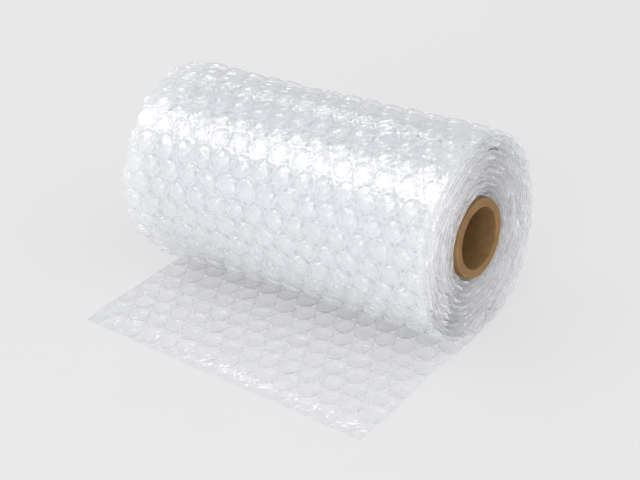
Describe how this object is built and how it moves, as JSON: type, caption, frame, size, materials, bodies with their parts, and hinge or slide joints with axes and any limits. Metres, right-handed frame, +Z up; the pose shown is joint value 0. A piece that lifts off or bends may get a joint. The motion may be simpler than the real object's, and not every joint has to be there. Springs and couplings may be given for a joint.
{
  "type": "bubble wrap roll",
  "caption": "Part-used roll of clear large-bubble cushioning film on a brown paper core, lying on its own loose end.",
  "frame": {"origin": "centre of the core's bore, halfway along the roll", "axes": "+X along the roll's axis, +Z up, and the film's cut end towards -Y"},
  "size_m": [0.302, 0.2587, 0.1731],
  "materials": {
    "core_card": "plain kraft paper, matt",
    "clear_film": "clear polyethylene film, milky where many layers lie together"
  },
  "bodies": {
    "root": {"cardboard_core": "core_card", "bubble_wrap": "clear_film"}
  },
  "joints": []
}
